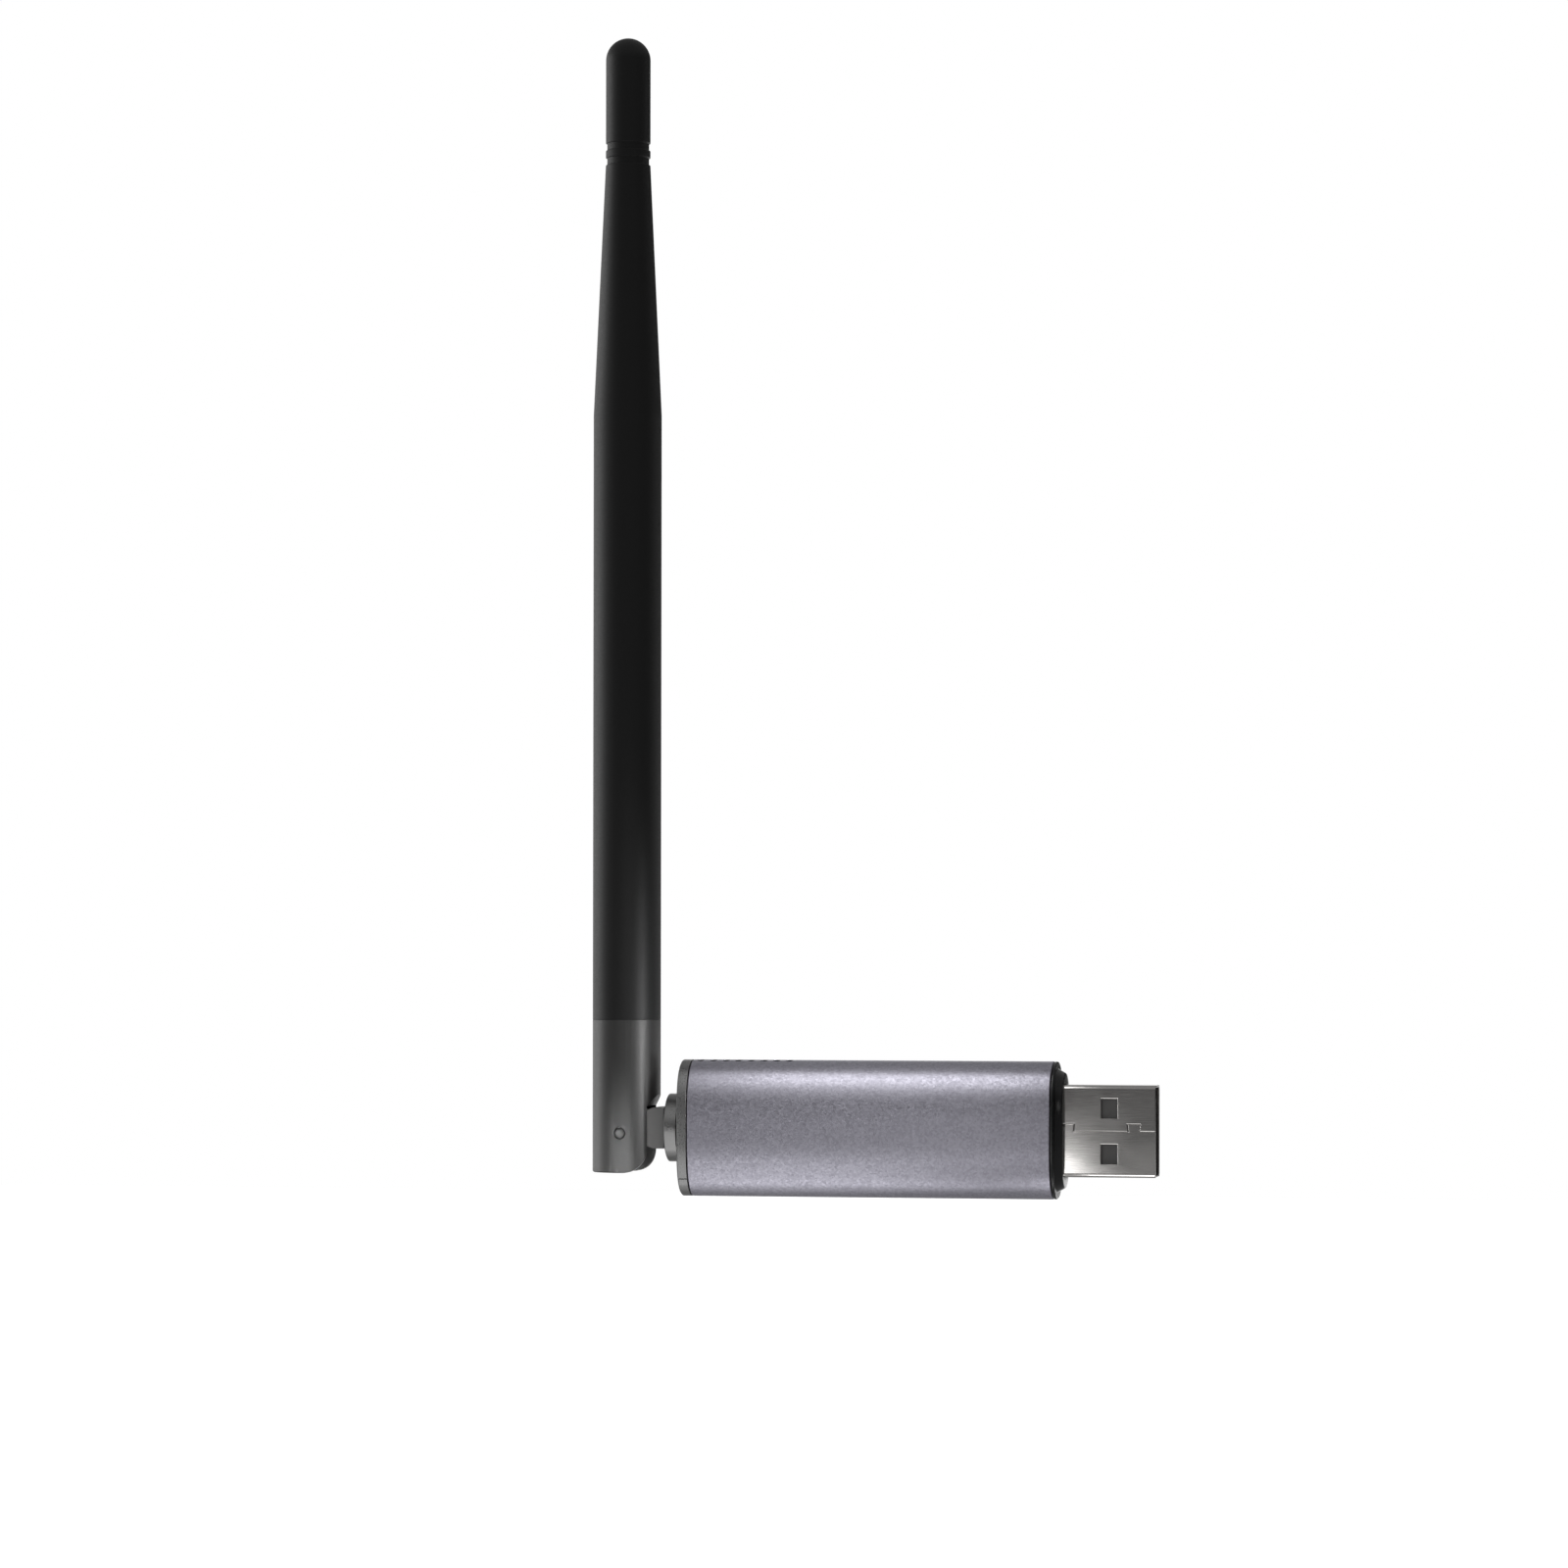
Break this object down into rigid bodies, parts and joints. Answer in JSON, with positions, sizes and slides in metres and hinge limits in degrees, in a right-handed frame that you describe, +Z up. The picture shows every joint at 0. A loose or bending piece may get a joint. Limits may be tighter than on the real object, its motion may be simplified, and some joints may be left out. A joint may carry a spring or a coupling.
{
  "type": "smart home usb radio stick",
  "caption": "Flat metal radio stick with a USB plug at one end and a long hinged antenna on a swivel neck at the other, bent upright.",
  "frame": {"origin": "centre of the shoulder that the plug stands on, in the plug's mid-plane", "axes": "+X along the stick towards the plug's tip, +Z up the antenna when it is bent upright, -Y is the near side"},
  "size_m": [0.075, 0.01, 0.1529],
  "materials": {
    "anodised_metal": "anodised, fine blasted grain",
    "dark_nickel": "turned and plated",
    "grey_plastic": "moulded, fine grain",
    "black_gloss": "polished",
    "plug_steel": "rolled sheet",
    "insulator_plastic": "moulded",
    "gilt": "plated",
    "board": "solder mask",
    "tin": "tinned",
    "chip_black": "moulded",
    "ceramic": "fired",
    "white_insulator": "turned",
    "seal_rubber": "moulded",
    "cable_jacket": "extruded",
    "yoke_plastic": "moulded, satin",
    "antenna_plastic": "moulded, satin",
    "brass": "drawn",
    "foam": "cut foam"
  },
  "bodies": {
    "stick": {"housing_tube": "anodised_metal", "rear_cap": "grey_plastic", "front_cap": "black_gloss", "usb_shell": "plug_steel", "usb_tongue": "insulator_plastic", "usb_contact_1": "gilt", "usb_contact_2": "gilt", "usb_contact_3": "gilt", "usb_contact_4": "gilt", "main_board": "board", "radio_module_board": "board", "radio_shield_can": "tin", "radio_chip": "chip_black", "usb_bridge_chip": "chip_black", "voltage_regulator": "chip_black", "crystal": "tin", "chip_capacitors": "ceramic", "antenna_jack_body": "gilt", "jack_insulator": "white_insulator", "jack_contact": "gilt"},
    "nut": {"coupling_nut": "dark_nickel"},
    "neck": {"swivel_neck": "grey_plastic", "retaining_ring": "plug_steel", "gasket": "seal_rubber", "plug_insulator": "white_insulator", "plug_centre_pin": "gilt", "hinge_coax": "cable_jacket"},
    "antenna": {"antenna_yoke": "yoke_plastic", "antenna_radome": "antenna_plastic", "hinge_pin_front": "grey_plastic", "hinge_pin_back": "grey_plastic", "antenna_coax": "cable_jacket", "choke_sleeve": "brass", "radiator_rod": "brass", "foam_spacer": "foam"}
  },
  "joints": [
    {"name": "nut_turn", "type": "hinge", "parent": "stick", "child": "nut", "pos_m": [-0.05185, 0, 0], "axis": [-1, 0, 0], "continuous": true},
    {"name": "antenna_swivel", "type": "hinge", "parent": "stick", "child": "neck", "pos_m": [-0.0585, 0, 0], "axis": [1, 0, 0], "continuous": true},
    {"name": "antenna_tilt", "type": "hinge", "parent": "neck", "child": "antenna", "pos_m": [-0.0585, 0, -0.0007], "axis": [0, -1, 0], "range_deg": [0, 90], "deforming": ["hinge_coax"]}
  ]
}
